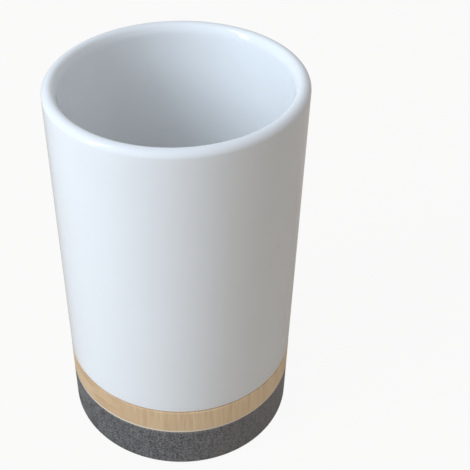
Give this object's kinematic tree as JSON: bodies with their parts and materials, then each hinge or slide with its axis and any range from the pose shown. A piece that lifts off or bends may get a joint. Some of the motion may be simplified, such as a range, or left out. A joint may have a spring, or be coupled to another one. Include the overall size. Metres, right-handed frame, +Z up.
{
  "type": "bathroom tumbler",
  "caption": "Straight round bathroom tumbler: a white glazed ceramic cup with a flared lip, seated in a flush natural wood band on a dark grey wooden base with anti-slip pads.",
  "frame": {"origin": "centre of the circle on which the tumbler stands, in the plane of the pads' undersides", "axes": "+Z up along the tumbler's axis; the tumbler is round, so X and Y only place the pads"},
  "size_m": [0.07, 0.07, 0.116],
  "materials": {
    "glazed_ceramic": "polished",
    "silicone_adhesive": "satin",
    "natural_wood": "satin",
    "wood_glue": "satin",
    "stained_wood": "matte",
    "pad_rubber": "matte"
  },
  "bodies": {
    "root": {"ceramic_cup": "glazed_ceramic", "cup_adhesive": "silicone_adhesive", "wood_band": "natural_wood", "band_glue_film": "wood_glue", "dark_base": "stained_wood", "foot_pad_1": "pad_rubber", "foot_pad_2": "pad_rubber", "foot_pad_3": "pad_rubber", "foot_pad_4": "pad_rubber"}
  },
  "joints": []
}
